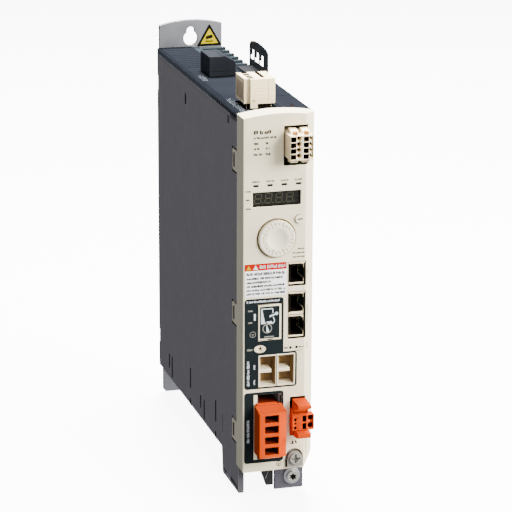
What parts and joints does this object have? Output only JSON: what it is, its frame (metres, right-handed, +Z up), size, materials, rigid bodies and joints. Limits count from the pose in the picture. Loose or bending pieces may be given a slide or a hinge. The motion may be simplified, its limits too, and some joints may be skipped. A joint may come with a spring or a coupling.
{
  "type": "servo drive",
  "caption": "Narrow cabinet-mounted servo drive with a jog dial, small display, network jacks, pull-off terminal plugs on its front and top, and a finned heat sink behind.",
  "frame": {"origin": "back face of the rear plate, midway between its two fixing holes", "axes": "+X to the right seen from the front, +Y into the cabinet wall, +Z up"},
  "size_m": [0.048, 0.241, 0.2704],
  "materials": {
    "black_metal": "powder coat",
    "board_green": "solder mask",
    "bracket_metal": "zinc plated",
    "button_plastic": "fine texture",
    "capacitor_sleeve": "shrink sleeve",
    "choke_core": "varnished",
    "clamp_steel": "zinc plated",
    "clear_plastic": "clear",
    "contact_brass": "plated",
    "dial_plastic": "fine texture",
    "display_dark": "matte",
    "fan_plastic": "matte",
    "front_plastic": "fine texture",
    "guard_metal": "plated",
    "header_dark": "moulded",
    "header_tan": "moulded",
    "inner_dark": "matte",
    "jack_plastic": "moulded",
    "label_dark": "printed foil",
    "label_pale": "printed foil",
    "lid_plastic": "fine texture",
    "plate_metal": "satin",
    "plug_cream": "moulded",
    "plug_dark": "moulded",
    "plug_orange": "moulded",
    "screw_steel": "zinc plated",
    "sheet_paint": "fine texture",
    "sink_metal": "dark coated",
    "sticker_yellow": "printed foil",
    "transformer_tape": "taped",
    "window_glass": "tinted"
  },
  "bodies": {
    "housing": {"board_standoffs": "screw_steel", "bottom_cover": "sheet_paint", "brake_header": "header_dark", "bus_capacitors": "capacitor_sleeve", "cable_guide": "black_metal", "choke": "choke_core", "connector_pins": "contact_brass", "control_board": "board_green", "dc_bus_contacts": "contact_brass", "dc_bus_header": "header_tan", "display_module": "display_dark", "display_window": "window_glass", "encoder_body": "inner_dark", "esc_switch": "inner_dark", "fan_frame": "fan_plastic", "fan_guard": "guard_metal", "fan_screws": "screw_steel", "flap_lock_cup": "front_plastic", "front_cover": "front_plastic", "ground_bracket": "bracket_metal", "ground_screw": "screw_steel", "ground_washer": "clamp_steel", "heat_sink": "sink_metal", "info_label": "label_pale", "io_header": "header_dark", "jack_contacts": "contact_brass", "left_side_sheet": "sheet_paint", "light_pipes": "clear_plastic", "mains_header": "header_dark", "motor_header": "header_dark", "motor_label": "label_dark", "pe_bar": "bracket_metal", "pe_screw": "screw_steel", "plate_sticker": "sticker_yellow", "power_board": "board_green", "power_module": "inner_dark", "rear_plate": "plate_metal", "resistor_terminal": "plug_orange", "right_side_sheet": "sheet_paint", "rj45_dual": "jack_plastic", "rj45_single": "jack_plastic", "safety_header": "header_dark", "shield_tab": "black_metal", "terminal_label": "label_dark", "top_cover": "lid_plastic", "transformer": "transformer_tape"},
    "mains_plug": {"mains_plug": "plug_dark"},
    "safety_plug": {"safety_plug": "plug_cream"},
    "io_plug": {"io_plug": "plug_cream"},
    "motor_plug": {"motor_plug": "plug_orange", "motor_plug_clamps": "clamp_steel"},
    "brake_plug": {"brake_plug": "plug_orange"},
    "brake_lever_upper": {"brake_lever_upper": "plug_orange"},
    "brake_lever_lower": {"brake_lever_lower": "plug_orange"},
    "dial_plunger": {"encoder_slider": "inner_dark"},
    "dial": {"dial": "dial_plastic", "dial_shaft": "screw_steel"},
    "esc_button": {"esc_button": "button_plastic"},
    "resistor_flap": {"resistor_flap": "label_dark"},
    "fan_rotor": {"fan_rotor": "fan_plastic"}
  },
  "joints": [
    {"name": "mains_plug_slide", "type": "slide", "parent": "housing", "child": "mains_plug", "axis": [0, 0, 1], "range_m": [0, 0.02]},
    {"name": "safety_plug_slide", "type": "slide", "parent": "housing", "child": "safety_plug", "axis": [0, 0, 1], "range_m": [0, 0.018]},
    {"name": "io_plug_slide", "type": "slide", "parent": "housing", "child": "io_plug", "axis": [0, -1, 0], "range_m": [0, 0.018]},
    {"name": "motor_plug_slide", "type": "slide", "parent": "housing", "child": "motor_plug", "axis": [0, -1, 0], "range_m": [0, 0.02]},
    {"name": "brake_plug_slide", "type": "slide", "parent": "housing", "child": "brake_plug", "axis": [0, -1, 0], "range_m": [0, 0.016]},
    {"name": "brake_lever_upper_pivot", "type": "hinge", "parent": "brake_plug", "child": "brake_lever_upper", "pos_m": [0.0125, -0.229, -0.0721], "axis": [1, 0, 0], "range_deg": [0, 15]},
    {"name": "brake_lever_lower_pivot", "type": "hinge", "parent": "brake_plug", "child": "brake_lever_lower", "pos_m": [0.0125, -0.2294, -0.0865], "axis": [-1, 0, 0], "range_deg": [0, 10]},
    {"name": "dial_press", "type": "slide", "parent": "housing", "child": "dial_plunger", "axis": [0, 1, 0], "range_m": [0, 0.0012], "stiffness_N_per_m": 1000},
    {"name": "dial_turn", "type": "hinge", "parent": "dial_plunger", "child": "dial", "pos_m": [-0.0026, -0.226, 0.0411], "axis": [0, -1, 0], "continuous": true},
    {"name": "esc_press", "type": "slide", "parent": "housing", "child": "esc_button", "axis": [0, 1, 0], "range_m": [0, 0.001], "stiffness_N_per_m": 1000},
    {"name": "resistor_flap_hinge", "type": "hinge", "parent": "housing", "child": "resistor_flap", "pos_m": [-0.00665, -0.2257, -0.0022], "axis": [-1, 0, 0], "range_deg": [0, 95]},
    {"name": "fan_spin", "type": "hinge", "parent": "housing", "child": "fan_rotor", "pos_m": [0, -0.042, -0.1004], "axis": [0, 0, 1], "continuous": true}
  ]
}
